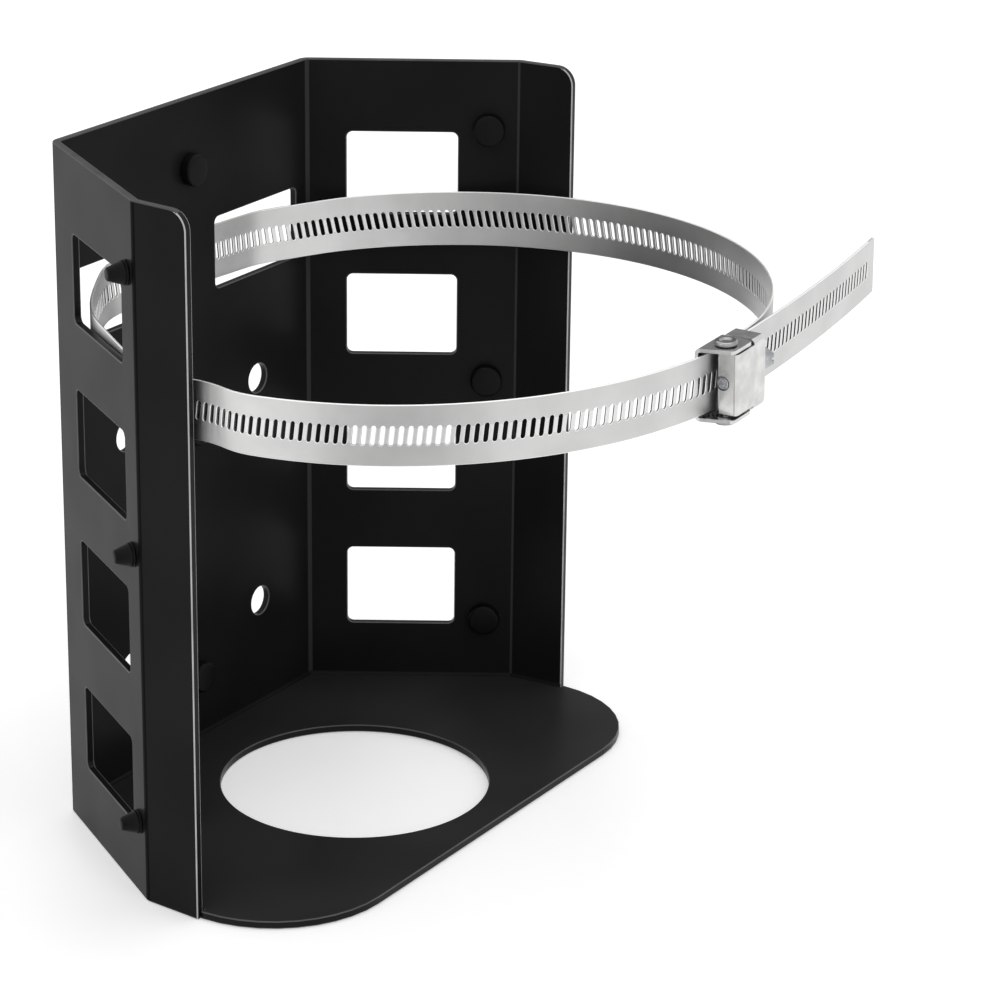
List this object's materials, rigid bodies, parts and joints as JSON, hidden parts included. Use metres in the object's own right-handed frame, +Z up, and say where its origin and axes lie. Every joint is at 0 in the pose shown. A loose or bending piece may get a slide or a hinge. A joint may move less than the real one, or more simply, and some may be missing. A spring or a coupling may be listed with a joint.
{
  "type": "gas cylinder bracket",
  "caption": "Wall bracket of folded black sheet with a holed base shelf, windowed flanks, rubber bumpers and a slotted steel worm-drive band that straps a gas cylinder in place.",
  "frame": {"origin": "on the outer face of the back wall, at the middle of the four mounting holes", "axes": "+Z up, +Y out of the back wall into the wall it is fixed to, +X along the wall"},
  "size_m": [0.1915, 0.1904, 0.2],
  "materials": {
    "black_coat": "satin black powder coat on folded steel sheet",
    "black_rubber": "moulded black rubber, matt",
    "stainless_band": "bright rolled stainless strip",
    "stainless_buckle": "polished stainless pressing",
    "plated_screw": "bright zinc plated screw"
  },
  "bodies": {
    "bracket": {"folded_shell": "black_coat", "base_plate": "black_coat", "bumper_back_1": "black_rubber", "bumper_back_2": "black_rubber", "bumper_back_3": "black_rubber", "bumper_left_1": "black_rubber", "bumper_left_2": "black_rubber", "bumper_left_3": "black_rubber", "bumper_right_1": "black_rubber", "bumper_right_2": "black_rubber", "bumper_right_3": "black_rubber", "clamp_band": "stainless_band", "buckle_saddle": "stainless_buckle", "pivot_rivet_top": "stainless_buckle", "pivot_rivet_bottom": "stainless_buckle"},
    "housing": {"clamp_housing": "stainless_buckle"},
    "worm": {"worm_screw": "plated_screw"}
  },
  "joints": [
    {"name": "housing_swing", "type": "hinge", "parent": "bracket", "child": "housing", "pos_m": [-0.0108, -0.18492, 0.08149], "axis": [0.045, 0, -0.999], "range_deg": [0, 85]},
    {"name": "worm_spin", "type": "hinge", "parent": "housing", "child": "worm", "pos_m": [-0.007, -0.18507, 0.08166], "axis": [0.999, 0, 0.045], "continuous": true}
  ]
}
